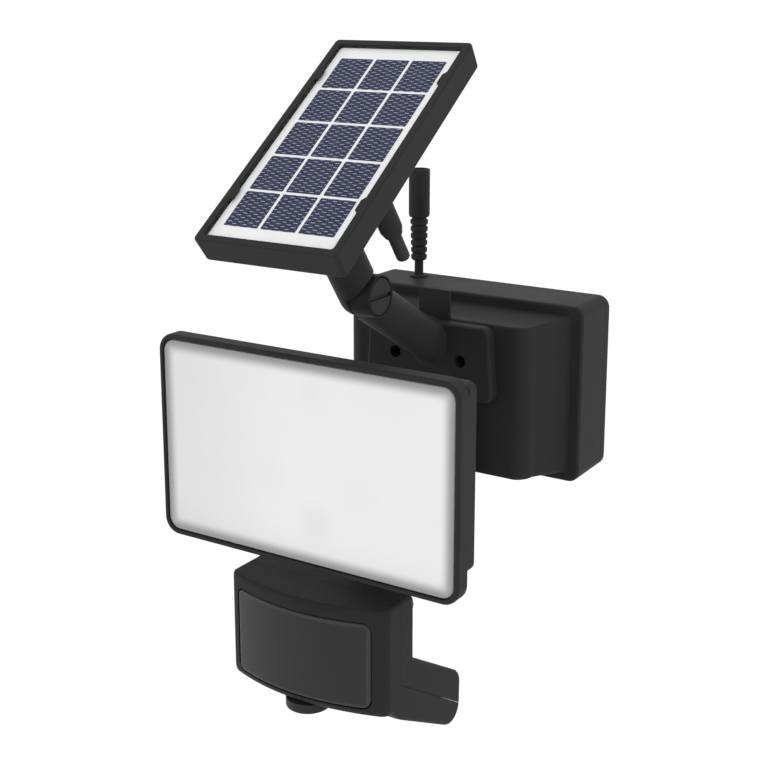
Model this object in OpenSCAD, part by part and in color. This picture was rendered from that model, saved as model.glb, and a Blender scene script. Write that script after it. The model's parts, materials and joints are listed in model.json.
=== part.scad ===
// Solar flood light: wall box with battery, tilting solar panel, lamp head and motion sensor.
// The origin is the centre of the wall face. +Z is up, and the light faces -Y.

/* [Wall box] */
// Width of the wall box
box_w = 118; // [110:1:126]
// Height of the wall box
box_h = 80; // [76:1:84]
// Depth of the box rim, from the wall to the rim's front
rim_d = 29; // [26:1:32]
// Corner radius of the rim
rim_r = 5; // [5:1:8]
// Width of the battery bay that stands proud of the rim
bay_w = 96; // [90:1:100]
// Height of the battery bay
bay_h = 68; // [64:1:70]
// How far the battery bay stands proud of the rim
bay_proud = 26; // [24:1:28]
// Radius of the battery bay's upright edges
bay_r = 8; // [5:0.5:9]
// Wall thickness of the moulded shells
wall = 2.2; // [1.8:0.1:2.6]

/* [Wall screws] */
// Distance between the wall screws, left to right
screw_dx = 84; // [80:1:86]
// Distance between the wall screws, top to bottom
screw_dz = 48; // [40:1:50]
// Radius of the wall screw holes
screw_hole_r = 2.5; // [2:0.1:3]

/* [Knuckles] */
// Radius of the knuckle barrels, the tube arm and the panel neck
barrel_r = 8.8; // [8.4:0.1:9]
// Half the width of a knuckle, from its parting face to its end
barrel_half = 10; // [9:0.5:11]
// Radius of the pivot bolt's shank
bolt_r = 3; // [2.5:0.1:3.5]
// Radius of the pivot bolt's slotted head
bolt_head_r = 7.6; // [7:0.1:7.8]

/* [Solar panel] */
// Width of the panel frame
panel_w = 64.4; // [60:0.1:66]
// Length of the panel frame
panel_l = 118.4; // [114:0.2:122]
// Depth of the panel frame
panel_t = 11.4; // [10:0.2:13]
// Tilt of the panel from level
panel_tilt = 36; // [30:1:42]
// Width of one solar cell
cell_w = 15.5; // [14:0.1:15.5]
// Length of one solar cell
cell_l = 18.4; // [17:0.1:18.6]

/* [Lamp head] */
// Width of the lamp head
head_w = 140; // [130:1:144]
// Height of the lamp head
head_h = 85.7; // [80:0.1:88]
// Depth of the front bezel
bezel_d = 7; // [6:0.5:8]
// Corner radius of the bezel
head_r = 7; // [5:0.5:9]
// Columns of LEDs
led_cols = 6; // [4:1:6]
// Rows of LEDs
led_rows = 4; // [2:1:4]

/* [Motion sensor] */
// Width of the motion sensor
sensor_w = 75; // [72:1:78]
// Radius of the sensor's curved front
sensor_front_r = 88; // [84:1:96]
// Radius of the setting dial
dial_r = 9.2; // [8:0.1:9.4]

/* [Panel lead] */
// Radius of the lead's cable
lead_r = 2.1; // [1.8:0.1:2.2]
// Radius of the lead's socket body
socket_r = 5; // [4.8:0.1:5.4]

/* [Hidden] */
$fn = 64;
black = [0.10, 0.10, 0.105];
gap = 0.3;                    // clearance between bodies that move past each other
fit_gap = 0.05;               // radial clearance of the running fits
back_t = 3;                   // thickness of the rear cover's plate
seal_y = -4.6;                // joint between the rear cover and the front housing
bay_y = -(rim_d + bay_proud); // front of the battery bay
plate_t = 5.9;                // thickness of the bracket plates
plate_y = bay_y;              // back of the bracket plates
plate_front = plate_y - plate_t;
bracket_screw_x = 15;         // the lamp bracket's screws
bracket_screw_z = -27;
plate_hole_x = 16.35;         // the panel bracket's two spare holes
plate_hole_z = 17.3;
cover_screw_x = 30;           // the screws that hold the rear cover, from below
cover_screw_y = seal_y - 6;

cell_r = 9.2;                 // radius of one battery cell
cell_len = 65;
cell_pitch = 18.7;
cell_y = bay_y + wall + cell_r + 3;
board_y = cell_y + cell_r + 6; // front of the charge board

nut_r = 5.2;                  // radius of the pivot nuts
knuckle = [0, -113.7, 55.2];  // panel tilt axis
arm_base = [0, plate_front + 2, 23.5];
arm_slope = atan2(knuckle[2] - arm_base[2], arm_base[1] - knuckle[1]);
saddle_r = barrel_r + 1.5;
neck_l = 49.5;                // from the tilt axis to the panel's back
attach_u = -24.5;             // the neck meets the panel this far below its centre
rim_lip = 3.35;               // width of the panel frame's front edge
sheet_depth = 1;              // the clear cover lies this far below the frame's front
plug_x = 20;
plug_u = -14.2;
plug_l = 23.6;
barrel_l = 12.8;
journal_r = 6;

lead_x = -35.4;
lead_y = -9.1;
lead_top = box_h / 2;         // the lead leaves the box through its top
relief_z = lead_top + 8.1;
socket_z = lead_top + 28.7;
socket_top = lead_top + 51.5;

hub_y = -104;                 // shared pan axis of the head and the sensor
hub_z0 = -31;
hub_z1 = -9;
hub_r = 11;
pin_r = 4;
head_pivot = [0, -128, -4];
lamp_tube_z = -20;            // height of the lamp bracket's tube
head_zc = -3.85;
head_y = -156;                // front of the lamp head
bezel_y = head_y + bezel_d;
shell_y = bezel_y + 5.5;      // back of the rear housing
hump_y = shell_y + 5.5;       // back of the rear housing's raised middle
shell_zc = 0.5;
shell_h = 73;
fin_places = [-32, -24, 23, 31];
led_dx = 20;                  // spacing of the LEDs
led_dz = 15;

sensor_pivot = [0, -116, -69];
sensor_top = -57.2;
sensor_nose = -162;           // foremost point of the sensor's front
split_y = -142.4;             // joint between the sensor's two shells
dial_y = -152.6;
window_zc = -80.4;            // middle of the sensor's window
sensor_back = -132.6;         // back of the sensor's upright part
sensor_screw_x = 34;
sensor_screw_z = -62.6;
dial_z = -106.5;              // underside of the dial

// A rounded rectangle in the XZ plane, from y0 back to y1, centred on [0, zc]
module slab(w, h, r, y0, y1, zc = 0) {
    translate([0, max(y0, y1), zc]) rotate([90, 0, 0]) linear_extrude(abs(y1 - y0)) rounded(w, h, r);
}

module rounded(w, h, r) {
    square([w - 2 * r, h], center = true);
    square([w, h - 2 * r], center = true);
    for (x = [-1, 1], y = [-1, 1]) translate([x * (w / 2 - r), y * (h / 2 - r)]) circle(r);
}

module ring(w, h, r, edge, y0, y1, zc = 0) {
    difference() {
        slab(w, h, r, y0, y1, zc);
        slab(w - 2 * edge, h - 2 * edge, max(r - edge, 0.5), min(y0, y1) - 1, max(y0, y1) + 1, zc);
    }
}

// A cylinder along X between two X values, through the point p
module x_rod(p, r, x0, x1) {
    translate([x0, p[1], p[2]]) rotate([0, 90, 0]) cylinder(h = x1 - x0, r = r);
}

// A cylinder along Y between two Y values
module y_rod(x, z, r, y0, y1) {
    translate([x, y1, z]) rotate([90, 0, 0]) cylinder(h = y1 - y0, r = r);
}

module at_corners(dx, dz) {
    for (x = [-1, 1], z = [-1, 1]) translate([x * dx / 2, 0, z * dz / 2]) children();
}

// Places children in the panel's own frame: X across, Y up its slope, Z out of its face
module on_panel(u = 0, depth = 0) {
    on_neck() translate([0, u - attach_u, neck_l + panel_t - depth]) children();
}

// The parts of a knuckle that are cut out of either half: bolt hole, head recess and nut recess
module knuckle_bores(p) {
    x_rod(p, bolt_r + fit_gap, -barrel_half - 1, barrel_half + 1);
    x_rod(p, bolt_head_r + 0.3, barrel_half - 3.2, barrel_half + 1);
    x_rod(p, nut_r + gap, -barrel_half - 1, -4);
}

module fixed_half(p) { x_rod(p, barrel_r, 0.15, barrel_half); }
module moving_half(p) { x_rod(p, barrel_r, -barrel_half, -0.15); }

module pivot_bolt(p) {
    color("dimgray") difference() {
        union() {
            x_rod(p, bolt_head_r, barrel_half - 3.2, barrel_half - 0.2);
            x_rod(p, bolt_r, -7.8, barrel_half - 3);
        }
        translate([barrel_half - 0.7, p[1], p[2]]) cube([1.6, 2 * bolt_head_r + 1, 1.8], center = true);
    }
}

module pivot_nut(p) {
    color("silver") difference() {
        x_rod(p, nut_r, -7.4, -4.2);
        x_rod(p, bolt_r, -7.6, barrel_half);
    }
}

// ---- Wall box

// A block with rounded upright edges, from y0 back into the rim's hollow
module bay_block(w, h, r, y0) {
    depth = bay_proud + 9 + y0 - bay_y;
    translate([0, y0 + depth / 2, -h / 2]) linear_extrude(h) rounded(w, depth, r);
}

module box_back() {
    color(black) difference() {
        union() {
            difference() {
                slab(box_w, box_h, rim_r, seal_y, 0);
                slab(box_w - 4 * wall, box_h - 4 * wall, rim_r - 2 * wall, seal_y - 1, -back_t);
            }
            board_posts(3.5, board_y + 1.6, -back_t + 0.1);
            // lugs that take the two cover screws from below
            for (x = [-cover_screw_x, cover_screw_x])
                translate([x - 5, cover_screw_y - 4, -box_h / 2 + 2 * wall + 0.1]) cube([10, 12, 8]);
        }
        at_corners(screw_dx, screw_dz) y_rod(0, 0, screw_hole_r, -back_t - 1, 1);
        for (x = [-cover_screw_x, cover_screw_x])
            translate([x, cover_screw_y, -box_h / 2]) cylinder(h = 14, r = 1.3);
    }
}

module box_gasket() {
    color("dimgray") ring(box_w - 2 * wall, box_h - 2 * wall, rim_r - wall, wall, seal_y - 0.8, seal_y);
}

module box_front() {
    color(black) difference() {
        union() {
            slab(box_w, box_h, rim_r, -rim_d, seal_y);
            bay_block(bay_w, bay_h, bay_r, bay_y);
        }
        // seat of the gasket, then the rim's and the bay's hollows
        slab(box_w - 2 * wall, box_h - 2 * wall, rim_r - wall, seal_y - 0.8, seal_y + 1);
        slab(box_w - 4 * wall, box_h - 4 * wall, rim_r - 2 * wall, -rim_d + wall, seal_y);
        bay_block(bay_w - 2 * wall, bay_h - 2 * wall, bay_r - wall, bay_y + wall);
        for (x = [-cover_screw_x, cover_screw_x]) translate([x, cover_screw_y, -box_h / 2 - 1]) {
            cylinder(h = 6, r = 1.7);
            cylinder(h = 2.2, r = 2.8);
        }
        // slot behind the panel bracket's latch tab
        translate([-8.2, bay_y - 1, bay_h / 2 - wall - 1]) cube([16.4, 3, wall + 2]);
        for (x = [-bracket_screw_x, bracket_screw_x])
            y_rod(x, bracket_screw_z, 1.5, bay_y - 1, bay_y + wall + 1);
        translate([lead_x, lead_y, box_h / 2 - 8]) cylinder(h = 9, r = lead_r + 1.5);
    }
}

module battery_cells() {
    color("steelblue") for (i = [-1:1]) {
        x_rod([0, cell_y, i * cell_pitch], cell_r, -cell_len / 2, cell_len / 2);
        x_rod([0, cell_y, i * cell_pitch], 3.2, cell_len / 2 - 0.01, cell_len / 2 + 0.99);
    }
}

module battery_holder() {
    color("darkslategray") difference() {
        union() {
            translate([-cell_len / 2 - 5, cell_y - 1, -29]) cube([cell_len + 10, cell_r + 2.6, 58]);
            for (x = [-cell_len / 2 - 5, cell_len / 2 + 2.3])
                translate([x, bay_y + wall, -29]) cube([2.7, 2 * cell_r, 58]);
            board_posts(3, cell_y + cell_r, board_y);
        }
        for (i = [-1:1])
            x_rod([0, cell_y, i * cell_pitch], cell_r + 0.2, -cell_len / 2 - 2.2, cell_len / 2 + 2.2);
    }
}

// Posts behind and in front of the charge board's corners
module board_posts(r, y0, y1) { at_corners(58, 38) y_rod(0, 0, r, y0, y1); }

module battery_contacts() {
    color("silver") for (s = [-1, 1], i = [-1:1])
        translate([s * (cell_len / 2 + 1.6), cell_y, i * cell_pitch]) cube([0.5, 7, 10], center = true);
}

module charge_board() {
    color("green") translate([-34, board_y, -24]) cube([68, 1.6, 48]);
}

module board_parts() {
    y = board_y + 1.6;
    color("dimgray") {
        translate([-26, y, -14]) cube([9, 4, 9]);
        translate([-8, y, -16]) cube([7, 1.6, 7]);
        translate([10, y, 8]) cube([12, 5, 6]);
        translate([8, y, -14]) cube([8, 4.6, 5]);
        for (x = [-24, -14]) translate([x, y + 5, 12]) rotate([90, 0, 0]) cylinder(h = 5, r = 3.2);
    }
}

module box_screws() {
    color("silver") for (x = [-cover_screw_x, cover_screw_x]) translate([x, cover_screw_y, -box_h / 2]) {
        translate([0, 0, 0.1]) cylinder(h = 1.1, r = 2.6);
        translate([0, 0, 1.1]) cylinder(h = 11, r = 1.3);
    }
}

// ---- Panel lead

module on_lead() { translate([lead_x, lead_y, 0]) children(); }

module lead_grommet() {
    color([0.06, 0.06, 0.065]) on_lead() difference() {
        union() {
            translate([0, 0, lead_top]) cylinder(h = 0.9, r = lead_r + 2.3);
            translate([0, 0, lead_top - 6]) cylinder(h = 6, r = lead_r + 1.5);
        }
        translate([0, 0, lead_top - 7]) cylinder(h = 9, r = lead_r);
    }
}

module lead_cable() {
    color(black) on_lead() translate([0, 0, lead_top - 8])
        cylinder(h = relief_z - lead_top + 12, r = lead_r);
}

module lead_relief() {
    color(black) on_lead() difference() {
        union() {
            translate([0, 0, relief_z]) cylinder(h = socket_z - relief_z, r = 3.1);
            for (i = [0:5]) translate([0, 0, relief_z + 0.2 + i * 3.35]) cylinder(h = 2.1, r = 3.85);
        }
        translate([0, 0, relief_z - 1]) cylinder(h = 5, r = lead_r);
    }
}

module lead_socket() {
    color(black) on_lead() difference() {
        translate([0, 0, socket_z]) cylinder(h = socket_top - socket_z, r = socket_r);
        translate([0, 0, socket_top - 14]) cylinder(h = 15, r = 3.6);
    }
}

module socket_contacts() {
    color("silver") on_lead() {
        difference() {
            translate([0, 0, socket_top - 14]) cylinder(h = 12.5, r = 3.6);
            translate([0, 0, socket_top - 13]) cylinder(h = 14, r = 2.9);
        }
        translate([0, 0, socket_top - 13.5]) cylinder(h = 7.5, r = 1);
    }
}

// ---- Brackets on the front of the box

// Places children in the tube arm's own frame, with Z running up the tube
module on_arm() { translate(arm_base) rotate([90 - arm_slope, 0, 0]) children(); }

module panel_bracket() {
    plate_h = 33.3;
    color(black) difference() {
        union() {
            slab(62, plate_h, 4, plate_front, plate_y, plate_h / 2);
            on_arm() cylinder(h = norm(knuckle - arm_base), r = barrel_r);
            fixed_half(knuckle);
            // latch tab that stands up behind the plate
            translate([-7.7, bay_y - 0.1, 31]) cube([15.4, 1.5, 15.5]);
            translate([-7.7, bay_y - 2, 31]) cube([15.4, 2.2, 2]);
        }
        x_rod(knuckle, saddle_r, -barrel_half - 2, 0.15);
        knuckle_bores(knuckle);
        for (x = [-plate_hole_x, plate_hole_x])
            y_rod(x, plate_hole_z, 2.75, plate_front - 1, plate_y + 1);
        // the tube is hollow where it meets the plate
        on_arm() translate([0, 0, 2]) cylinder(h = 34, r = barrel_r - 3);
    }
}

module lamp_bracket() {
    plate_h = 33;
    plate_zc = -21.5;
    color(black) difference() {
        union() {
            slab(42, plate_h, 4, plate_front, plate_y, plate_zc);
            y_rod(0, lamp_tube_z, barrel_r, hub_y, plate_front + 1);
            y_rod(0, lamp_tube_z, barrel_r + 2.5, plate_front - 3, plate_front + 1);
            translate([0, hub_y, hub_z0]) cylinder(h = hub_z1 - hub_z0, r = hub_r);
        }
        translate([0, hub_y, hub_z0 - 1]) cylinder(h = hub_z1 - hub_z0 + 2, r = pin_r + fit_gap);
        for (x = [-bracket_screw_x, bracket_screw_x]) {
            y_rod(x, bracket_screw_z, 1.9, plate_front - 1, plate_y + 1);
            y_rod(x, bracket_screw_z, 3.6, plate_front - 1, plate_front + 2);
        }
    }
}

module bracket_screws() {
    color("silver") for (x = [-bracket_screw_x, bracket_screw_x]) {
        y_rod(x, bracket_screw_z, 3.4, plate_front + 0.2, plate_front + 2);
        y_rod(x, bracket_screw_z, 1.5, plate_front + 1.9, bay_y + wall + 2);
    }
}

module panel_pivot_bolt() { pivot_bolt(knuckle); }
module panel_pivot_nut() { pivot_nut(knuckle); }
module head_pivot_bolt() { pivot_bolt(head_pivot); }
module head_pivot_nut() { pivot_nut(head_pivot); }
module sensor_pivot_bolt() { pivot_bolt(sensor_pivot); }
module sensor_pivot_nut() { pivot_nut(sensor_pivot); }

// ---- Solar panel

// Places children in the neck's own frame, with Z running from the tilt axis to the panel
module on_neck() { translate(knuckle) rotate([panel_tilt, 0, 0]) children(); }

module panel_neck() {
    color(black) difference() {
        union() {
            on_neck() {
                cylinder(h = neck_l - gap, r = barrel_r);
                cylinder(h = neck_l + 4, r = journal_r);
            }
            translate(knuckle) sphere(barrel_r - 0.05);
        }
        x_rod(knuckle, saddle_r, -0.15, barrel_half + 2);
        knuckle_bores(knuckle);
    }
}

module neck_clip() {
    color("silver") on_neck() translate([0, 0, neck_l + 2.2 + gap]) difference() {
        cylinder(h = 1.2, r = 8.5);
        translate([0, 0, -1]) cylinder(h = 4, r = journal_r);
    }
}

module panel_plate(w, l, r, d0, d1) {
    on_panel(0, d1) linear_extrude(d1 - d0) rounded(w, l, r);
}

module panel_frame() {
    color(black) difference() {
        panel_plate(panel_w, panel_l, 1.6, 0, panel_t);
        panel_plate(panel_w - 2 * rim_lip, panel_l - 2 * rim_lip, 1.5, -1, sheet_depth + 2.2);
        panel_plate(panel_w - 2 * rim_lip - 3, panel_l - 2 * rim_lip - 3, 1.5, 0, panel_t - wall);
        on_panel(attach_u, panel_t + 1) cylinder(h = 5, r = journal_r + fit_gap);
        on_panel(plug_u, panel_t + 1) translate([plug_x, 0, 0]) cylinder(h = 5, r = 3.5);
    }
}

sheet_w = panel_w - 2 * rim_lip - 0.3;
sheet_l = panel_l - 2 * rim_lip - 0.3;
cell_step_x = cell_w + 1.5;
cell_step_y = cell_l + 1.4;

module solar_sheet() {
    color("white") panel_plate(sheet_w, sheet_l, 1.4, sheet_depth + 0.8, sheet_depth + 2.2);
}

module panel_glass() {
    color([0.8, 0.85, 0.9, 0.3]) panel_plate(sheet_w, sheet_l, 1.4, sheet_depth, sheet_depth + 0.6);
}

module solar_cells() {
    color("midnightblue") for (i = [-1:1], j = [-2:2])
        on_panel(j * cell_step_y, sheet_depth + 0.8)
            translate([i * cell_step_x - cell_w / 2, -cell_l / 2, 0]) cube([cell_w, cell_l, 0.2]);
}

module cell_ribbons() {
    color("silver") for (i = [-1:1])
        on_panel(0, sheet_depth + 2.35) translate([i * cell_step_x - 0.8, -48, 0]) cube([1.6, 96, 0.15]);
}

module terminal_board() {
    color("green") on_panel(plug_u + 2, sheet_depth + 5.6)
        translate([plug_x - 10, -9, 0]) cube([14, 24, 1.6]);
}

module plug_body() {
    color(black) on_panel(plug_u, 0) translate([plug_x, 0, 0]) {
        translate([0, 0, -panel_t - plug_l]) cylinder(h = plug_l, r = 4.55);
        translate([0, 0, -panel_t - 0.1]) cylinder(h = 3.2, r = 3.5);
    }
}

module plug_barrel() {
    color([0.12, 0.12, 0.125]) on_panel(plug_u, 0) translate([plug_x, 0, -panel_t - plug_l - barrel_l]) {
        translate([0, 0, 2.2]) cylinder(h = barrel_l - 2.2, r = 2.75);
        rotate_extrude() intersection() {
            translate([0, 2.75]) circle(2.75);
            square([3, 2.25]);
        }
    }
}

// ---- Lamp head

module head_swivel() {
    color(black) difference() {
        union() {
            translate([0, hub_y, hub_z1 + gap]) cylinder(h = 13.5, r = hub_r);
            translate([0, hub_y, -19]) cylinder(h = 12, r = pin_r);
            translate([0.15, head_pivot[1], hub_z1 + gap]) cube([barrel_half - 0.15, 24, 13.5]);
            fixed_half(head_pivot);
        }
        x_rod(head_pivot, saddle_r, -barrel_half - 2, 0.15);
        knuckle_bores(head_pivot);
    }
}

module head_bezel() {
    color(black) difference() {
        slab(head_w, head_h, head_r, head_y, bezel_y, head_zc);
        slab(head_w - 4, head_h - 4.4, head_r - 1.5, head_y - 1, head_y + 4, head_zc);
        slab(head_w - 16, shell_h - 8, 3, head_y, bezel_y + 1, shell_zc);
        head_screw_places() y_rod(0, 0, 1.4, bezel_y - 2.4, bezel_y + 1);
    }
}

module head_lens() {
    color([0.92, 0.93, 0.94])
        slab(head_w - 4.4, head_h - 4.8, head_r - 1.7, head_y + 0.6, head_y + 3, head_zc);
}

module head_gasket() {
    color("dimgray") ring(head_w - 4.4, head_h - 4.8, head_r - 1.7, 4, head_y + 3, head_y + 4, head_zc);
}

module led_grid() {
    for (i = [0:led_cols - 1], j = [0:led_rows - 1])
        translate([(i - (led_cols - 1) / 2) * led_dx, 0, shell_zc + (j - (led_rows - 1) / 2) * led_dz])
            children();
}

module reflector() {
    color("white") difference() {
        slab(head_w - 18, shell_h - 10, 2.5, head_y + 4.4, bezel_y + 1.2, shell_zc);
        slab(head_w - 20.4, shell_h - 12.4, 2, head_y + 4, bezel_y + 0.4, shell_zc);
        led_grid() translate([-2, bezel_y - 1, -2]) cube([4, 3, 4]);
    }
}

module led_board() {
    color("gainsboro") slab(head_w - 18, shell_h - 10, 2.5, bezel_y + 1.9, shell_y - wall, shell_zc);
}

module led_chips() {
    color("khaki") led_grid() translate([-1.4, bezel_y + 1, -1.75]) cube([2.8, 0.9, 3.5]);
}

module head_rear() {
    lug_p = head_pivot;
    color(black) difference() {
        union() {
            slab(head_w, shell_h, 3, bezel_y, shell_y, shell_zc);
            slab(70, 52, 4, shell_y - 1, hump_y, shell_zc);
            for (x = fin_places) translate([x - 1, shell_y - 1, shell_zc - 25]) cube([2, 12, 50]);
            difference() {
                translate([-barrel_half, hump_y - 1, lug_p[2] - barrel_r])
                    cube([barrel_half - 0.15, lug_p[1] - hump_y + 1, 2 * barrel_r]);
                x_rod(lug_p, barrel_r, -barrel_half - 1, barrel_half);
            }
            moving_half(lug_p);
        }
        slab(head_w - 2 * wall - 8, shell_h - 8, 2, bezel_y - 1, shell_y - wall, shell_zc);
        knuckle_bores(lug_p);
        x_rod(lug_p, saddle_r, -0.15, barrel_half + 3);
        head_screw_places() y_rod(0, 0, 2.9, shell_y - 1.6, shell_y + 1);
        head_screw_places() y_rod(0, 0, 1.6, bezel_y - 1, shell_y + 1);
    }
}

module head_screw_places() {
    translate([0, 0, shell_zc]) at_corners(head_w - 6.8, shell_h - 10) children();
}

module head_screws() {
    color("silver") head_screw_places() {
        y_rod(0, 0, 2.6, shell_y - 1.5, shell_y - 0.1);
        y_rod(0, 0, 1.4, bezel_y - 2.4, shell_y - 1.4);
    }
}

// ---- Motion sensor

module sensor_stem() {
    leg_top = [0, hub_y, hub_z0 - 6];
    leg = sensor_pivot - leg_top;
    color(black) difference() {
        union() {
            translate([0, hub_y, hub_z0 - gap - 6]) cylinder(h = 6, r = hub_r);
            translate([0, hub_y, hub_z0 - 2]) cylinder(h = 11, r = pin_r);
            translate(leg_top) rotate([atan2(-leg[1], leg[2]), 0, 0])
                cylinder(h = norm(leg), r = barrel_r - 1);
            fixed_half(sensor_pivot);
        }
        x_rod(sensor_pivot, saddle_r, -barrel_half - 2, 0.15);
        knuckle_bores(sensor_pivot);
    }
}

// Side outline of the sensor, as [y, z]: flat top, and a tail that runs back and down
module side_outline() {
    polygon([[sensor_nose, sensor_top], [sensor_back, sensor_top], [sensor_back, -84.9], [-101.5, -104.2],
        [-95.2, -113.5], [-98.8, -124.8], [-106.5, -129.2], [-152, -102.6], [sensor_nose, -101.5]]);
}

// Cavity of the sensor, two millimetres inside its outline
module inner_outline() {
    polygon([[sensor_nose + 3, sensor_top - wall], [sensor_back - 2.4, sensor_top - wall],
        [sensor_back - 2.4, -86.6], [-103, -106.4], [-98, -113.8], [-101, -122.6], [-107.6, -126.4],
        [-151, -100.4], [sensor_nose + 3, -99.3]]);
}

module extrude_x(w) { translate([-w / 2, 0, 0]) rotate([90, 0, 90]) linear_extrude(w) children(); }

module curved_front(r, w) {
    translate([0, sensor_nose + sensor_front_r, -140]) intersection() {
        cylinder(h = 90, r = r, $fn = 160);
        translate([-w / 2, -r, 0]) cube([w, 80, 90]);
    }
}

module sensor_shell() {
    difference() {
        intersection() {
            extrude_x(sensor_w) side_outline();
            curved_front(sensor_front_r, sensor_w);
        }
        intersection() {
            extrude_x(sensor_w - 4.4) inner_outline();
            curved_front(sensor_front_r - 3, sensor_w);
        }
    }
}

// Space that belongs to the rear shell: behind the split, and above the middle of the tail
module rear_zone() {
    extrude_x(sensor_w + 2)
        polygon([[split_y, -50], [split_y, -92.6], [-90, -125.8], [-80, -125.8], [-80, -50]]);
}

module window_zone(w, h) { translate([-w / 2, sensor_nose - 2, window_zc - h / 2]) cube([w, 20, h]); }

module sensor_front() {
    color(black) difference() {
        union() {
            difference() {
                sensor_shell();
                rear_zone();
            }
            // seat of the dial, and the posts that take the screws from behind
            intersection() {
                translate([0, dial_y, dial_z - 0.5]) cylinder(h = 8, r = dial_r + 2);
                extrude_x(sensor_w) side_outline();
                curved_front(sensor_front_r, sensor_w);
            }
            for (x = [-sensor_screw_x, sensor_screw_x]) y_rod(x, sensor_screw_z, 2.4, -153, split_y);
        }
        window_zone(65.4, 36.4);
        translate([0, dial_y, dial_z - 3.5]) {
            cylinder(h = 20, r = 2.55);
            cylinder(h = 7.7, r = dial_r + gap);
        }
        for (x = [-sensor_screw_x, sensor_screw_x]) y_rod(x, sensor_screw_z, 1.4, -148, -142);
    }
}

module sensor_rear() {
    lug_p = sensor_pivot;
    color(black) difference() {
        union() {
            intersection() {
                sensor_shell();
                rear_zone();
            }
            difference() {
                translate([-barrel_half, sensor_back - 1.9, lug_p[2] - 7])
                    cube([barrel_half - 0.15, lug_p[1] - sensor_back + 1.9, 14]);
                x_rod(lug_p, barrel_r, -barrel_half - 1, barrel_half);
            }
            moving_half(lug_p);
            for (x = [-22, 22]) y_rod(x, -70, 2.5, -137.4, -134.5);
            for (x = [-sensor_screw_x, sensor_screw_x]) y_rod(x, sensor_screw_z, 2.4, split_y, -133);
        }
        knuckle_bores(lug_p);
        for (x = [-sensor_screw_x, sensor_screw_x]) y_rod(x, sensor_screw_z, 1.5, split_y - 1, -130);
    }
}

module sensor_window() {
    color([0.16, 0.16, 0.17]) intersection() {
        difference() {
            curved_front(sensor_front_r + 0.4, sensor_w);
            curved_front(sensor_front_r - 1.6, sensor_w + 2);
        }
        window_zone(65, 36);
    }
}

module sensor_board() { color("green") translate([-26, -139, -96]) cube([52, 1.6, 32]); }

module pir_detector() {
    color("silver") {
        y_rod(0, -80, 4.6, -143.2, -139);
        y_rod(0, -80, 5, -139.8, -139);
    }
}

module sensor_screws() {
    color("silver") for (x = [-sensor_screw_x, sensor_screw_x]) {
        y_rod(x, sensor_screw_z, 2.8, sensor_back, sensor_back + 1.4);
        y_rod(x, sensor_screw_z, 1.4, -147, sensor_back + 0.1);
    }
}

module sensor_dial() {
    color([0.08, 0.08, 0.085]) translate([0, dial_y, dial_z]) difference() {
        union() {
            cylinder(h = 4, r = dial_r);
            translate([0, 0, 2.5]) cylinder(h = 8, r = 2.5);
        }
        cube([2 * dial_r - 3, 1.6, 1.6], center = true);
    }
}

box_back();
box_gasket();
box_front();
battery_holder();
battery_cells();
battery_contacts();
charge_board();
board_parts();
box_screws();
lead_grommet();
lead_cable();
lead_relief();
lead_socket();
socket_contacts();
panel_bracket();
lamp_bracket();
bracket_screws();
panel_pivot_bolt();
panel_pivot_nut();
panel_neck();
neck_clip();
panel_frame();
solar_sheet();
solar_cells();
cell_ribbons();
panel_glass();
terminal_board();
plug_body();
plug_barrel();
head_swivel();
head_pivot_bolt();
head_pivot_nut();
head_bezel();
head_lens();
head_gasket();
reflector();
led_board();
led_chips();
head_rear();
head_screws();
sensor_stem();
sensor_pivot_bolt();
sensor_pivot_nut();
sensor_front();
sensor_window();
sensor_rear();
sensor_board();
pir_detector();
sensor_screws();
sensor_dial();
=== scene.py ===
"""Solar flood light: wall box, solar panel, lamp head and motion sensor. Shapes are in millimetres."""
import json
from math import acos, cos, pi, radians, sin, sqrt, tan

import bmesh
import bpy
from mathutils import Matrix, Vector


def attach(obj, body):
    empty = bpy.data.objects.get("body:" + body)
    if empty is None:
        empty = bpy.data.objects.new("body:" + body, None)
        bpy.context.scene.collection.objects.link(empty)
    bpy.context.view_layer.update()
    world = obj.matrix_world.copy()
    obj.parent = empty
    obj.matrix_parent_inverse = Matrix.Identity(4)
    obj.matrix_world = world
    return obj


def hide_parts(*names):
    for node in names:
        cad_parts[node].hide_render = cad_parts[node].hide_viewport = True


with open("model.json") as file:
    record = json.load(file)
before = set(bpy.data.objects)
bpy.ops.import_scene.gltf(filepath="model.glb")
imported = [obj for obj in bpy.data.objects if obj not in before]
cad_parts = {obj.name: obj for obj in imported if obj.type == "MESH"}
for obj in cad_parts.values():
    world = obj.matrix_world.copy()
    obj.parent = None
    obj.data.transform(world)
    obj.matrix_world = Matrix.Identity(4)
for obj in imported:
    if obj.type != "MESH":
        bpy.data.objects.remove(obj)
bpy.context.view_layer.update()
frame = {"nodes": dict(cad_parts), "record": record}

MM = 0.001
X, Y, Z = Vector((1, 0, 0)), Vector((0, 1, 0)), Vector((0, 0, 1))
scene = bpy.context.scene

# ---- Camera

AZIMUTH, ELEVATION = radians(32.4), radians(13.1)
camera_data = bpy.data.cameras.new("camera")
camera_data.lens = 65.2
camera_data.sensor_width = 36
camera_data.shift_y = -0.1
camera_data.clip_start = 0.01
camera = bpy.data.objects.new("camera", camera_data)
camera.location = Vector((298.8, -566.8, 176.0)) * MM
camera.rotation_euler = (pi / 2 - ELEVATION, 0, AZIMUTH)
scene.collection.objects.link(camera)
scene.camera = camera

# ---- Main sizes, as in the CAD part. Names end in HX and HZ for half sizes, R for radii, ZC for middles.

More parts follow.
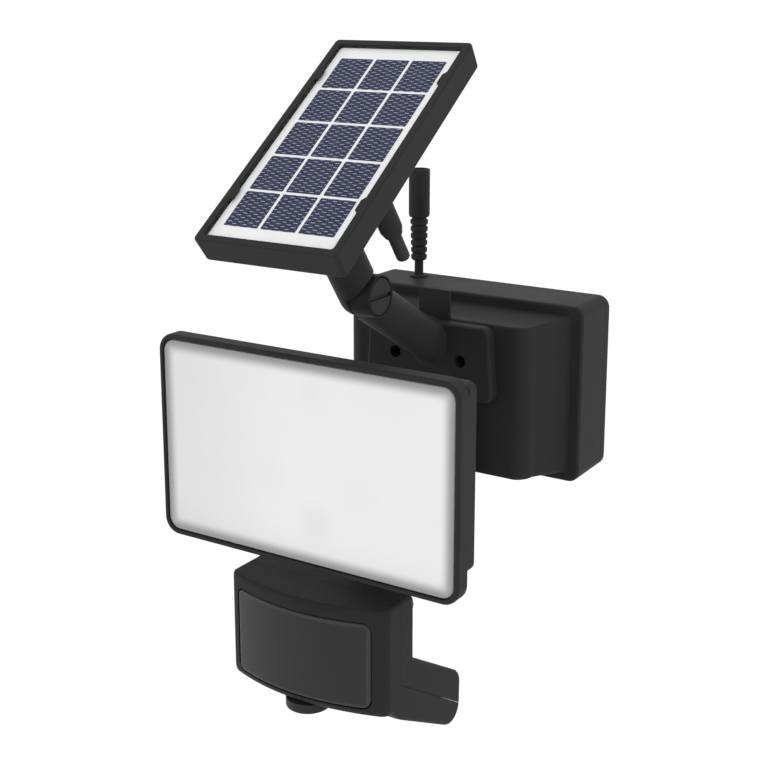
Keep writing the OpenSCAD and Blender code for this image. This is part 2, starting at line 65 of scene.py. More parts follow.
BOX_W, BOX_H, RIM_D, BAY_Y, SEAL_Y = 118, 80, 29, -55, -4.6
RIM_R, BAY_HX, BAY_HZ, BAY_R, BAY_EDGE, BAY_BASE_HX = 5, 46.2, 34, 8, 1, 53.6
WALL, SEAL_GAP = 2.2, 0.05
COVER_SCREW_X, COVER_SCREW_Y, COVER_SEAT_H = 30, SEAL_Y - 6, 1.2
WALL_HOLE_X, WALL_HOLE_Z, WALL_HOLE_R = 42, 24, 2.5
LEAD, LEAD_R = Vector((-35.4, -9.1, BOX_H / 2)), 2.1

PLATE_FRONT = BAY_Y - 5.9
BRACKET_SCREW_X, BRACKET_SCREW_Z = 15, -27
PLATE_HOLE_X, PLATE_HOLE_Z, LAMP_TUBE_Z = 16.35, 17.3, -20
BARREL_R, BARREL_HALF, SADDLE_R, BOLT_R, BOLT_HEAD_R, NUT_R = 8.8, 10, 10.3, 3, 7.6, 5.2
KNUCKLE_GAP = 0.18
KNUCKLE = Vector((0, -113.7, 55.2))
ARM_BASE = Vector((0, PLATE_FRONT + 2, 23.5))
HUB_Y, HUB_R, HUB_Z0, HUB_Z1, HUB_GAP, PIN_R = -104, 11, -31, -9, 0.3, 4

TILT = radians(36)
PANEL_UP = Vector((0, cos(TILT), sin(TILT)))
PANEL_OUT = Vector((0, -sin(TILT), cos(TILT)))
PANEL_W, PANEL_L, PANEL_T, NECK_L, ATTACH_U = 64.4, 118.4, 11.4, 49.5, -24.5
SHEET_TOP, SHEET_BASE = -1.8, -3.2
CELL_W, CELL_L, CELL_GAP_X, CELL_GAP_U = 15.5, 18.4, 1.5, 1.4
PLUG_X, PLUG_U, PLUG_L, PLUG_R, PLUG_TIP, PLUG_TIP_R = 20, -14.2, 23.6, 4.55, 12.8, 2.75

HEAD_W, HEAD_H, HEAD_Y, BEZEL_Y, SHELL_Y, HEAD_ZC = 140, 85.7, -156, -149, -143.5, -3.85
SHELL_H, SHELL_ZC, HUMP_Y = 73, 0.5, -138
HEAD_SCREW_X, HEAD_SCREW_Z = 66.6, 31.5
FIN_PLACES, FIN_HZ = (-32, -24, 23, 31), 25
HEAD_PIVOT = Vector((0, -128, -4))

SENSOR_PIVOT = Vector((0, -116, -69))
SENSOR_HALF, SENSOR_NOSE, SENSOR_SPLIT, SENSOR_TOP, FRONT_R = 37.5, -162, -142.4, -57.2, 88
SENSOR_BACK, SENSOR_SCREW_X, SENSOR_SCREW_Z = -132.6, 34, -62.6
DIAL_Y, DIAL_R, DIAL_Z0, DIAL_Z1 = -152.6, 9.2, -106.5, -102.5
WINDOW_HX, WINDOW_HZ, WINDOW_ZC = 31.9, 17.7, -80.4


# ---- Shape tools

def soften(path, closed=False, steps=5):
    """Rounds the corners of a path. Each point ends with the radius of its own corner."""
    out = []
    for i, point in enumerate(path):
        here, r = Vector(point[:-1]), point[-1]
        if r == 0 or (not closed and i in (0, len(path) - 1)):
            out.append(here)
            continue
        a = Vector(path[i - 1][:-1]) - here
        b = Vector(path[(i + 1) % len(path)][:-1]) - here
        half = acos(max(-1, min(1, a.dot(b) / (a.length * b.length)))) / 2
        reach = min(r / tan(half), 0.48 * a.length, 0.48 * b.length)
        a, b = a / a.length, b / b.length
        middle = here + (a + b) / (a + b).length * reach / cos(half)
        start, end = here + a * reach - middle, here + b * reach - middle
        sweep = pi - 2 * half
        for k in range(steps + 1):
            t = k / steps
            out.append(middle + (start * sin((1 - t) * sweep) + end * sin(t * sweep)) / sin(sweep))
    return out


def loft(rings, closed=False):
    """A skin through rings of equal length, with flat ends, or joined end to start if closed."""
    n, count = len(rings[0]), len(rings)
    verts = [Vector(p) for ring in rings for p in ring]
    faces = []
    for i in range(count if closed else count - 1):
        for j in range(n):
            k, m = (j + 1) % n, (i + 1) % count
            faces.append((i * n + j, i * n + k, m * n + k, m * n + j))
    if not closed:
        faces += [tuple(reversed(range(n))), tuple(range((count - 1) * n, count * n))]
    return verts, faces


def rounded(hx, hz, r, steps=8):
    """Points of a rounded rectangle about the origin."""
    r = min(r, hx - 0.01, hz - 0.01)
    corners = ((hx - r, hz - r), (r - hx, hz - r), (r - hx, r - hz), (hx - r, r - hz))
    return [(cx + r * cos(pi / 2 * (q + i / steps)), cz + r * sin(pi / 2 * (q + i / steps)))
            for q, (cx, cz) in enumerate(corners) for i in range(steps + 1)]


def sections(path, place, closed=False, steps=5, corner_steps=8):
    """A body of rounded rectangles. Path points are (depth, half width, half height, corner, rounding)."""
    return loft([[place(x, z, s[0]) for x, z in rounded(s[1], s[2], s[3], corner_steps)]
                 for s in soften(path, closed, steps)], closed)


def facing(zc=0, xc=0, lean=0.0):
    """Places a section of a body whose depth runs along Y. With a lean it narrows as it rises."""
    return lambda x, z, y: Vector((xc + x * (1 - lean * z), y, z + zc))


def on_panel(x, u, height):
    """A point by its place across, up and out of the panel's front face."""
    return KNUCKLE + X * x + PANEL_UP * (u - ATTACH_U) + PANEL_OUT * (NECK_L + PANEL_T + height)


def block(x0, x1, y0, y1, z0, z1, edge=0.5, corner=1.0):
    """A box with softened edges, sectioned along Y."""
    hx, hz = (x1 - x0) / 2, (z1 - z0) / 2
    path = [(y0, hx - 2 * edge, hz - 2 * edge, corner, 0), (y0, hx, hz, corner, edge),
            (y1, hx, hz, corner, edge), (y1, hx - 2 * edge, hz - 2 * edge, corner, 0)]
    return sections(path, facing((z0 + z1) / 2, (x0 + x1) / 2), steps=3, corner_steps=4)


def lathe(origin, axis, path, closed=False, turns=64, steps=4):
    """A turned body. Path points are (distance along the axis, radius, rounding)."""
    axis = axis.normalized()
    side = axis.orthogonal().normalized()
    if abs(axis.dot(X)) < 0.5:
        side = (X - axis * axis.dot(X)).normalized()
    other = axis.cross(side)
    return loft([[origin + axis * s + (side * cos(2 * pi * k / turns) + other * sin(2 * pi * k / turns)) * r
                  for k in range(turns)] for s, r in soften(path, closed, steps)], closed)


def rod(origin, axis, start, end, r, edge=0.4, turns=64):
    """A plain cylinder with softened ends."""
    return lathe(origin, axis, [(start, r * 0.5, 0), (start, r, edge), (end, r, edge), (end, r * 0.5, 0)],
                 turns=turns, steps=3)


def drill(origin, axis, start, end, r, turns=40):
    """A cylinder to cut a hole with."""
    return rod(origin, axis, start, end, r, 0.01, turns)


def prism(outline, x0, x1):
    """A (y, z) outline carried along X."""
    return loft([[Vector((x, y, z)) for y, z in outline] for x in (x0, x1)])


def solid(name, skins):
    """One object of closed skins, united."""
    result = None
    for verts, faces in skins:
        mesh = bpy.data.meshes.new(name)
        mesh.from_pydata(verts, [], faces)
        shape = bmesh.new()
        shape.from_mesh(mesh)
        bmesh.ops.recalc_face_normals(shape, faces=shape.faces)
        if shape.calc_volume(signed=True) < 0:
            bmesh.ops.reverse_faces(shape, faces=shape.faces)
        shape.to_mesh(mesh)
        shape.free()
        obj = bpy.data.objects.new(name, mesh)
        scene.collection.objects.link(obj)
        if result is None:
            result = obj
        else:
            combine(result, obj, "UNION")
    return result


def bake_modifiers(obj):
    """Puts the worked mesh in place of the plain one."""
    graph = bpy.context.evaluated_depsgraph_get()
    mesh = bpy.data.meshes.new_from_object(obj.evaluated_get(graph))
    obj.modifiers.clear()
    old, obj.data = obj.data, mesh
    bpy.data.meshes.remove(old)


def combine(obj, other, operation):
    """Unites other with obj, cuts it away, or keeps what both share, and removes other."""
    step = obj.modifiers.new("combine", "BOOLEAN")
    step.operation = operation
    step.solver = "EXACT"
    step.object = other
    bake_modifiers(obj)
    bpy.data.objects.remove(other)


def skin_of(obj):
    """Takes the skin of a worked object, and removes the object."""
    skin = [v.co.copy() for v in obj.data.vertices], [tuple(p.vertices) for p in obj.data.polygons]
    bpy.data.objects.remove(obj)
    return skin


def carved(skin, *tools, operation="DIFFERENCE"):
    """A skin worked by tools before it joins the other skins of its piece."""
    obj = solid("carved", [skin])
    for tool in tools:
        combine(obj, solid("tool", [tool]), operation)
    return skin_of(obj)


def shade(obj, angle=32):
    """Smooth faces with crisp creases, and normals that keep flat faces flat."""
    obj.data.shade_smooth()
    obj.data.set_sharp_from_angle(angle=radians(angle))
    step = obj.modifiers.new("normals", "WEIGHTED_NORMAL")
    step.keep_sharp = True
    step.weight = 80
    bake_modifiers(obj)


def piece(name, body, look, *skins, cut=(), separate=False):
    """Makes one visible piece that stands for the CAD node of the same name."""
    if separate:
        parts = [solid(name, [skin]) for skin in skins]
        with bpy.context.temp_override(active_object=parts[0], selected_editable_objects=parts):
            if len(parts) > 1:
                bpy.ops.object.join()
        obj = parts[0]
    else:
        obj = solid(name, skins)
    for skin in cut:
        combine(obj, solid("tool", [skin]), "DIFFERENCE")
    obj.data.transform(Matrix.Scale(MM, 4))
    shade(obj)
    obj.name = "look_" + name
    obj.data.materials.clear()
    obj.data.materials.append(LOOKS[look])
    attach(obj, body)
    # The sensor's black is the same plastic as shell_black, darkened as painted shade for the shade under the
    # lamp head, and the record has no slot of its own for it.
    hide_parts(name)
    return obj


# ---- Materials

def node(tree, kind, links=None, **settings):
    """Adds a shader node. Its inputs take sockets or plain values."""
    made = tree.nodes.new("ShaderNode" + kind)
    for key, value in settings.items():
        setattr(made, key, value)
    for key, value in (links or {}).items():
        if isinstance(value, bpy.types.NodeSocket):
            tree.links.new(value, made.inputs[key])
        else:
            made.inputs[key].default_value = value
    return made


def maths(tree, operation, a, b=0.0):
    return node(tree, "Math", {0: a, 1: b}, operation=operation).outputs[0]


def remap(tree, value, low, high, to_low, to_high, smooth=False):
    kind = "SMOOTHSTEP" if smooth else "LINEAR"
    links = {"Value": value, "From Min": low, "From Max": high, "To Min": to_low, "To Max": to_high}
    return node(tree, "MapRange", links, interpolation_type=kind).outputs[0]


def mix(tree, factor, a, b):
    """Blends two colours, each a socket or three numbers."""
    made = node(tree, "Mix", {0: factor}, data_type="RGBA")
    for socket, value in ((made.inputs[6], a), (made.inputs[7], b)):
        if isinstance(value, bpy.types.NodeSocket):
            tree.links.new(value, socket)
        else:
            socket.default_value = (*value, 1)
    return made.outputs[2]


def noise(tree, place, scale, detail=2.0):
    return node(tree, "TexNoise", {"Vector": place, "Scale": scale, "Detail": detail}).outputs["Fac"]


def surface(name, colour, rough, metal=0.0, spec=0.5,
            grain=(1800, 0.03, 0.2), mottle=(60, 0.12), spread=0.08):
    """A procedural surface: fine grain in the bump, and slow drift in its colour and roughness.

    grain is its scale, depth in millimetres and strength. mottle is the drift's scale and amount.
    """
    mat = bpy.data.materials.new(name)
    mat.use_nodes = True
    tree = mat.node_tree
    shader = tree.nodes["Principled BSDF"]
    place = node(tree, "TexCoord").outputs["Object"]
    drift = noise(tree, place, mottle[0], 3)
    low = tuple(c * (1 - mottle[1]) for c in colour)
    high = tuple(min(1, c * (1 + mottle[1])) for c in colour)
    tree.links.new(mix(tree, remap(tree, drift, 0.3, 0.7, 0, 1), low, high), shader.inputs["Base Color"])
    fine = noise(tree, place, grain[0], 2)
    rough_out = remap(tree, maths(tree, "ADD", drift, fine), 0.6, 1.4, rough - spread, rough + spread)
    tree.links.new(rough_out, shader.inputs["Roughness"])
    bump = node(tree, "Bump", {"Height": fine, "Distance": grain[1] * MM, "Strength": grain[2]})
    tree.links.new(bump.outputs[0], shader.inputs["Normal"])
    shader.inputs["Metallic"].default_value = metal
    shader.inputs["Specular IOR Level"].default_value = spec
    return mat, tree, shader, place


def blend_colour(tree, shader, factor, colour, over=True):
    """Blends a colour into the shader's own, where the factor is high, or if not over, where it is low."""
    own = shader.inputs["Base Color"].links[0].from_socket
    a, b = (own, colour) if over else (colour, own)
    tree.links.new(mix(tree, factor, a, b), shader.inputs["Base Color"])


def from_border(tree, axes, half_width, half_height, middle, blend):
    """How far a point lies inside the border of a rectangle that faces -Y."""
    from_side = maths(tree, "SUBTRACT", half_width * MM, maths(tree, "ABSOLUTE", axes[0]))
    height = maths(tree, "ABSOLUTE", maths(tree, "SUBTRACT", axes[2], middle * MM))
    from_top = maths(tree, "SUBTRACT", half_height * MM, height)
    inner = maths(tree, "SMOOTH_MIN", from_side, from_top)
    tree.nodes[-1].inputs[2].default_value = blend * MM
    return inner


def window_look():
    """Dark window of the motion sensor, with a painted highlight along the lip of its border, standing in for
    the light its bevel catches.
    """
    mat, tree, shader, place = surface("window_dark", (0.021, 0.021, 0.0215), 0.3, spec=0.2,
                                       grain=(700, 0.01, 0.08), mottle=(20, 0.05))
    axes = node(tree, "SeparateXYZ", {0: place}).outputs
    inner = from_border(tree, axes, WINDOW_HX, WINDOW_HZ, WINDOW_ZC, 2)
    # painted highlight: the window's colour is lightened just inside its border
    painted_lip_highlight = remap(tree, inner, 0.9 * MM, 1.8 * MM, 1, 0, smooth=True)
    blend_colour(tree, shader, painted_lip_highlight, (0.038, 0.038, 0.0385))
    return mat


def lens_look():
    """Frosted lens with painted shade: greyer near its edge where the bezel shades it, faint painted shadows
    of what is behind it, and darker towards its left and bottom.
    """
    mat, tree, shader, place = surface("lens_frosted", (0.78, 0.78, 0.78), 0.42, spec=0.3,
                                       mottle=(30, 0.01), grain=(2600, 0.02, 0.25))
    axes = node(tree, "SeparateXYZ", {0: place}).outputs
    edge_hx, edge_hz, shadow_y = 67.8, 40.4, -155
    # painted shade: the lens turns greyer towards the bezel that shades its border
    inner = from_border(tree, axes, edge_hx, edge_hz, HEAD_ZC, 4)
    painted_light = remap(tree, inner, 0.8 * MM, 6 * MM, 0, 1, smooth=True)
    # painted shadows of the parts behind the lens
    painted_shadows = ((5.5, -27, 13, 0.1), (5.5, 25, 12, 0.05), (-14.3, -11, 13, 0.035), (25.7, -12, 13, 0.04))
    for x, z, size, depth in painted_shadows:
        centre = Vector((x, shadow_y, z)) * MM
        gap = node(tree, "VectorMath", {0: place, 1: centre}, operation="DISTANCE").outputs["Value"]
        clear = remap(tree, gap, 0, size * MM, 1 - depth, 1, smooth=True)
        painted_light = maths(tree, "MULTIPLY", painted_light, clear)
    # painted shade: the lens darkens towards its left side and towards its bottom
    for axis, low, high, dimmest in ((0, -68, 0, 0.8), (2, -42, -28, 0.93)):
        painted_side_shade = remap(tree, axes[axis], low * MM, high * MM, dimmest, 1, smooth=True)
        painted_light = maths(tree, "MULTIPLY", painted_light, painted_side_shade)
    # the painted light and shade above blend the lens towards grey
    blend_colour(tree, shader, painted_light, (0.29, 0.29, 0.29), over=False)
    return mat


def off_middle(tree, value):
    """How far the fraction of a value lies from one half."""
    return maths(tree, "ABSOLUTE", maths(tree, "SUBTRACT", maths(tree, "FRACT", value), 0.5))


def cell_look():
    """Solar cells: navy silicon with printed silver fingers, drawn only as dashes of painted highlight where
    the fingers catch the light.
    """
    mat, tree, shader, _ = surface("cell_blue", (0.026, 0.031, 0.073), 0.34, spec=0.04,
                                   grain=(900, 0.004, 0.1), mottle=(160, 0.1))
    axes = node(tree, "SeparateXYZ", {0: node(tree, "UVMap", uv_map="UVMap").outputs[0]}).outputs
    finger_pitch, dash_pitch, dash_shift = 1.15, 4.8, 0.53
    row = maths(tree, "DIVIDE", axes[1], finger_pitch)
    shift = maths(tree, "MULTIPLY", maths(tree, "FLOOR", row), dash_shift)
    along = maths(tree, "ADD", maths(tree, "DIVIDE", axes[0], dash_pitch), shift)
    line = remap(tree, off_middle(tree, row), 0.03, 0.15, 1, 0, smooth=True)
    glint_dash = remap(tree, off_middle(tree, along), 0.13, 0.25, 1, 0, smooth=True)
    # the fingers are real print; their dashes are painted highlight
    blend_colour(tree, shader, maths(tree, "MULTIPLY", line, glint_dash), (0.6, 0.62, 0.7))
    return mat


def board_look(name, base, trace):
    """A circuit board's solder mask, with lighter tracks under it."""
    mat, tree, shader, place = surface(name, base, 0.35, mottle=(90, 0.08), grain=(1200, 0.01, 0.15))
    turned = node(tree, "Mapping", {"Vector": place, "Rotation": (pi / 2, 0, 0)}).outputs[0]
    grid = node(tree, "TexBrick", {"Vector": turned, "Scale": 90.0, "Mortar Size": 0.012}, offset=0.35)
    blend_colour(tree, shader, grid.outputs["Fac"], trace)
    return mat


def clear_look():
    """The panel's cover, nearly clear."""
    mat, _, shader, _ = surface("cover_clear", (0.2, 0.22, 0.25), 0.12, spec=0.6,
                                mottle=(20, 0.02), grain=(300, 0.002, 0.05), spread=0.04)
    shader.inputs["Alpha"].default_value = 0.03
    return mat


MOULDED = {"rough": 0.55, "spec": 0.07, "grain": (1500, 0.05, 0.22), "mottle": (35, 0.1)}
PLAIN_LOOKS = {
    "shell_black": {"colour": (0.0242, 0.0242, 0.0246), **MOULDED},
    # painted shade: the sensor's plastic is shell_black darkened for the shade under the lamp head
    "sensor_black_painted_shade": {"colour": (0.0205, 0.0205, 0.0209), **MOULDED},
    "lead_black": {"colour": (0.025, 0.025, 0.0255), "rough": 0.6, "spec": 0.08, "grain": (1100, 0.04, 0.25)},
    "plug_dark": {"colour": (0.027, 0.027, 0.0275), "rough": 0.5, "spec": 0.12, "grain": (1400, 0.03, 0.2)},
    "bolt_black": {"colour": (0.025, 0.025, 0.0255), "rough": 0.5, "spec": 0.12, "grain": (1300, 0.04, 0.22)},
    "holder_black": {"colour": (0.02, 0.02, 0.021), "rough": 0.6},
    "parts_dark": {"colour": (0.02, 0.02, 0.022), "rough": 0.45},
    "seal_rubber": {"colour": (0.03, 0.03, 0.031), "rough": 0.8, "grain": (900, 0.05, 0.4)},
    "cell_wrap": {"colour": (0.06, 0.2, 0.42), "rough": 0.28, "grain": (200, 0.02, 0.1), "mottle": (80, 0.1)},
    "contact_metal": {"colour": (0.62, 0.6, 0.56), "rough": 0.3, "metal": 1.0, "grain": (900, 0.01, 0.2)},
    "screw_metal": {"colour": (0.45, 0.45, 0.46), "rough": 0.34, "metal": 1.0, "grain": (1100, 0.02, 0.25),
                    "mottle": (300, 0.15)},
    "reflector_white": {"colour": (0.82, 0.82, 0.81), "rough": 0.35, "mottle": (60, 0.03)},
    "led_phosphor": {"colour": (0.8, 0.62, 0.12), "rough": 0.5, "mottle": (900, 0.12)},
    "sheet_white": {"colour": (0.87, 0.87, 0.87), "rough": 0.4, "spec": 0.4, "grain": (900, 0.01, 0.15),
                    "mottle": (50, 0.02)},
}
LOOKS = {name: surface(name, **settings)[0] for name, settings in PLAIN_LOOKS.items()}
LOOKS["window_dark"] = window_look()
LOOKS["board_green"] = board_look("board_green", (0.01, 0.11, 0.04), (0.03, 0.22, 0.08))
LOOKS["led_board_white"] = board_look("led_board_white", (0.8, 0.8, 0.79), (0.62, 0.62, 0.6))
LOOKS["lens_frosted"] = lens_look()
LOOKS["cell_blue"] = cell_look()
LOOKS["cover_clear"] = clear_look()

for entry in frame["record"]["subparts"]:
    cad = frame["nodes"][entry["node"]]
    cad.data.materials.clear()
    cad.data.materials.append(LOOKS[entry["material_slot"]])
    cad.data.shade_smooth()
    cad.data.set_sharp_from_angle(angle=radians(32))


# ---- Wall box

def make_box():
    """The front housing with its raised bay, and the cover that lies on the wall."""
    hx, hz, rim_r = BOX_W / 2, BOX_H / 2, RIM_R + 0.4
    bay = [(BAY_Y, 30, 20, 1, 0)]   # round upright edges, crisp top and bottom edges
    for k in range(13):
        turn = pi / 2 * k / 12
        deep = BAY_R * (1 - cos(turn))
        crisp = BAY_EDGE - sqrt(BAY_EDGE ** 2 - max(0, BAY_EDGE - deep) ** 2)
        bay.append((BAY_Y + deep, BAY_HX - BAY_R * (1 - sin(turn)), BAY_HZ - crisp, 1.5, 0))
    room_hx, room_hz = 54.6, 35.6
    housing = sections(bay + [
        (-RIM_D, BAY_BASE_HX, BAY_HZ + 1.6, 2, 0.3), (-RIM_D, hx, hz, RIM_R, 1.7),
        (SEAL_Y - SEAL_GAP, hx, hz, rim_r, 0.12), (SEAL_Y - SEAL_GAP, room_hx, room_hz, 3, 0),
        (-RIM_D + WALL, room_hx, room_hz, 3, 0), (-RIM_D + WALL, 43, 31.3, 4, 0),
        (BAY_Y + WALL, 40, 30, 4, 0)],
        facing(), steps=6, corner_steps=10)
    notch = block(-8, 8, BAY_Y - 1, BAY_Y + 1.9, 30.6, 37, 0.1, 0.2)
    gland = drill(LEAD, Z, -9, 1, 3.6)
    seats = [drill(Vector((x, COVER_SCREW_Y, -hz)), Z, -1, COVER_SEAT_H, 2.8)
             for x in (-COVER_SCREW_X, COVER_SCREW_X)]
    piece("box_front", "box", "shell_black", housing, cut=[notch, gland] + seats)
    step_hx, step_hz = 54.4, 35.4
    cover = sections([
        (-3, 40, 20, 5, 0), (-3, step_hx, step_hz, 5, 0), (SEAL_Y + SEAL_GAP, step_hx, step_hz, 5, 0),
        (SEAL_Y + SEAL_GAP, hx, hz, rim_r, 0.12), (0, hx, hz, rim_r, 0.8), (0, 40, 20, 4, 0)], facing())
    holes = [lathe(Vector((x, 0, z)), Y, [(-4, WALL_HOLE_R, 0), (0.5, WALL_HOLE_R, 0)], turns=32)
             for x in (-WALL_HOLE_X, WALL_HOLE_X) for z in (-WALL_HOLE_Z, WALL_HOLE_Z)]
    piece("box_back", "box", "shell_black", cover, cut=holes)


def screw(at, out, head_r, head_h, shank_r, shank_l):
    """A pan-head screw: its head's skin with the shank, and the two bars of its cross recess."""
    body = lathe(at, out, [
        (-shank_l, shank_r * 0.5, 0), (-shank_l, shank_r, 0.3), (0, shank_r, 0), (0, head_r, 0.2),
        (head_h, head_r, head_h * 0.7), (head_h, head_r * 0.4, 0)], turns=32)
    side = out.orthogonal().normalized()
    bars = []
    for way in (side, out.cross(side)):
        across = out.cross(way)
        corners = [way * a * head_r * 0.62 + across * b * head_r * 0.13
                   for a, b in ((1, 1), (-1, 1), (-1, -1), (1, -1))]
        bars.append(loft([[at + out * h + c for c in corners] for h in (head_h * 0.35, head_h + 1)]))
    return body, bars


def make_screws(name, body, places, out, *sizes):
    """The screws of one node. sizes are the last four arguments of screw()."""
    made = [screw(Vector(at), out, *sizes) for at in places]
    piece(name, body, "screw_metal", *[m[0] for m in made], cut=[bar for m in made for bar in m[1]],
          separate=True)


def make_lead():
    """The lead out of the box's top: grommet, cable, ribbed relief and socket."""
    r = LEAD_R
    grommet = lathe(LEAD, Z, [
        (-5.5, r + 0.2, 0), (-5.5, r + 1.4, 0.3), (-0.1, r + 1.4, 0), (0.05, r + 2.3, 0.2),
        (0.9, r + 2.2, 0.5), (0.9, r + 0.1, 0.3)], closed=True, turns=40)
    piece("lead_grommet", "box", "lead_black", grommet)
    cable = lathe(LEAD, Z, [(-8, 1, 0), (-8, r, 0.2), (12, r, 0.2), (12, 1, 0)], turns=32)
    piece("lead_cable", "box", "lead_black", cable)
    rib_r, rib_pitch, relief_end = 3.3, 3.35, 28.6
    ribs = [(8.1, r + 0.1, 0), (8.1, rib_r, 0.3)]
    for i in range(6):
        z = 8.5 + rib_pitch * i
        size = rib_r + 0.09 * i
        ribs += [(z, size, 0.2), (z + 0.25, size + 0.45, 0.4)]
        ribs += [(z + 2.1, size + 0.5, 0.4), (z + 2.4, size - 0.35, 0.2)]
    ribs += [(relief_end, 3.6, 0.2), (relief_end, r + 0.1, 0)]
    piece("lead_relief", "box", "lead_black", lathe(LEAD, Z, ribs, closed=True, turns=40, steps=3))
    start, end, bore_end, socket_r, bore_r = 28.7, 51.5, 38, 4.98, 3.62
    socket = lathe(LEAD, Z, [
        (start, 1.5, 0), (start, 4.7, 0.8), (30.4, socket_r, 0.4), (end, socket_r, 0.7),
        (end, bore_r, 0.5), (bore_end, bore_r, 0), (bore_end, 1.5, 0)], turns=48)
    piece("lead_socket", "box", "lead_black", socket)


# ---- Knuckles

def half_barrel(at, side):
    """One half of a knuckle. side is +1 for the half that takes the bolt's head, -1 for the nut's."""
    return lathe(at, X * side, [(KNUCKLE_GAP, 2, 0), (KNUCKLE_GAP, BARREL_R, 0.35),
                                (BARREL_HALF, BARREL_R, 0.55), (BARREL_HALF, 2, 0)], turns=80)


def saddle(at, side):
    """The room that one half of a knuckle leaves for the other."""
    start, end = -0.15, BARREL_HALF + 3
    return lathe(at, X * side, [(start, 4, 0), (start, SADDLE_R, 0), (end, SADDLE_R, 0), (end, 4, 0)],
                 turns=96)


def bore(at):
    """The hole for the bolt."""
    return drill(at, X, -BARREL_HALF - 2, BARREL_HALF + 2, BOLT_R + 0.06)


def recess(at, side):
    """Seat of the bolt's head, or of the nut, with a chamfered mouth."""
    r, depth = (BOLT_HEAD_R + 0.35, 3.2) if side > 0 else (NUT_R + 0.3, 6.0)
    base, mouth, out = BARREL_HALF - depth, BARREL_HALF - 0.35, BARREL_HALF + 0.65
    return lathe(at, X * side, [(base, 2, 0), (base, r, 0), (mouth, r, 0), (out, r + 1.0, 0), (out, 2, 0)])


def make_pivot(name, body, at):
    """The slotted bolt and the nut of one knuckle."""
    tail, top = -7.8, BARREL_HALF - 0.2
    bolt = lathe(at, X, [
        (tail, 1.5, 0), (tail, BOLT_R, 0.5), (top - 3, BOLT_R, 0), (top - 3, BOLT_HEAD_R, 0.2),
        (top, BOLT_HEAD_R, 0.5), (top, 3, 0)], turns=64)
    reach, half = BOLT_HEAD_R + 1, 0.95
    slot = block(top - 1.3, top + 1, at.y - reach, at.y + reach, at.z - half, at.z + half, 0.05, 0.1)
    piece(name + "_bolt", body, "bolt_black", bolt, cut=[slot])
    nut = []
    for s, r in ((-7.4, NUT_R - 0.4), (-6.9, NUT_R), (-4.2, NUT_R)):
        nut.append([at + X * s + Y * r * cos(pi / 3 * k) + Z * r * sin(pi / 3 * k) for k in range(6)])
    piece(name + "_nut", body, "screw_metal", loft(nut), cut=[drill(at, X, -8.5, 0, BOLT_R + 0.01)])


def flared_tube(base, tip, r, plate_y, flare, turns=72):
    """A tube from a plate that faces -Y, with a fillet where it leaves the plate."""
    axis = (tip - base).normalized()
    rings = []
    for k in range(9):
        t = k / 8 * pi / 2
        y = plate_y - flare * (1 - cos(t)) if k else plate_y + 0.5
        grow = flare * (1 - sin(t))
        centre = base + axis * ((y - base.y) / axis.y)
        lean = r / abs(axis.y)
        ring = []
        for q in range(turns):
            a = 2 * pi * q / turns
            out = Vector((lean * cos(a), 0, r * sin(a))).normalized()
            ring.append(centre + X * r * cos(a) + Z * lean * sin(a) + out * grow)
        rings.append(ring)
    side = axis.cross(X).normalized()
    if side.z < 0:
        side = -side
    for s in (1 - 0.001, 1):
        centre = base.lerp(tip, s)
        rings.append([centre + X * r * cos(2 * pi * q / turns) + side * r * sin(2 * pi * q / turns)
                      for q in range(turns)])
    return loft(rings)


def bracket_plate(hx, hz, flat_hx, middle, lean=0.0):
    """A plate on the bay's front, with softened edges round a flat middle."""
    return sections([(BAY_Y, hx - 1, hz - 1, 3.5, 0), (BAY_Y, hx, hz, 4, 0.5),
                     (PLATE_FRONT, hx, hz, 4, 1.8), (PLATE_FRONT, flat_hx, 8, 3, 0)],
                    facing(middle, lean=lean))


def make_brackets():
    """The panel's bracket with its arm and hanging tab, and the lamp's bracket with its tube and hub."""
    plate = bracket_plate(31, 16.6, 20, 16.65, 0.0022)
    arm = carved(flared_tube(ARM_BASE, KNUCKLE, BARREL_R, PLATE_FRONT, 1.6), saddle(KNUCKLE, -1))
    tab = block(-7.6, 7.6, BAY_Y - 0.2, BAY_Y + 1.4, 29, 46.4, 0.25, 0.8)
    foot = block(-7.6, 7.6, BAY_Y - 2.2, BAY_Y + 1, 31, 33, 0.2, 0.4)
    holes = [drill(Vector((x, 0, PLATE_HOLE_Z)), Y, PLATE_FRONT - 3, BAY_Y + 2, 2.75, 32)
             for x in (-PLATE_HOLE_X, PLATE_HOLE_X)]
    piece("panel_bracket", "box", "shell_black", plate, arm, half_barrel(KNUCKLE, 1), tab, foot,
          cut=[bore(KNUCKLE), recess(KNUCKLE, 1)] + holes)
    low = bracket_plate(21, 16.5, 14, -21.5)
    tube = lathe(Vector((0, 0, LAMP_TUBE_Z)), -Y, [
        (57, 9, 0), (57, 13, 0), (61.4, 12.4, 0.6), (63.4, BARREL_R, 1.2), (-HUB_Y, BARREL_R, 0),
        (-HUB_Y, 4, 0)])
    hub_r = PIN_R + 0.1
    hub = lathe(Vector((0, HUB_Y, 0)), Z, [
        (HUB_Z0, hub_r, 0), (HUB_Z0, HUB_R, 0.6), (HUB_Z1, HUB_R, 0.6), (HUB_Z1, hub_r, 0)], closed=True)
    places = [(x, PLATE_FRONT + 2, BRACKET_SCREW_Z) for x in (-BRACKET_SCREW_X, BRACKET_SCREW_X)]
    seats = [drill(Vector((x, 0, z)), Y, PLATE_FRONT - 3, y, 3.6, 32) for x, y, z in places]
    shaft = drill(Vector((0, HUB_Y, 0)), Z, HUB_Z0 - 2, HUB_Z1 + 2, PIN_R + 0.05, 48)
    piece("lamp_bracket", "box", "shell_black", low, tube, hub, cut=seats + [shaft])
    make_screws("bracket_screws", "box", places, -Y, 3.4, 1.7, 1.5, 8)


# ---- Solar panel

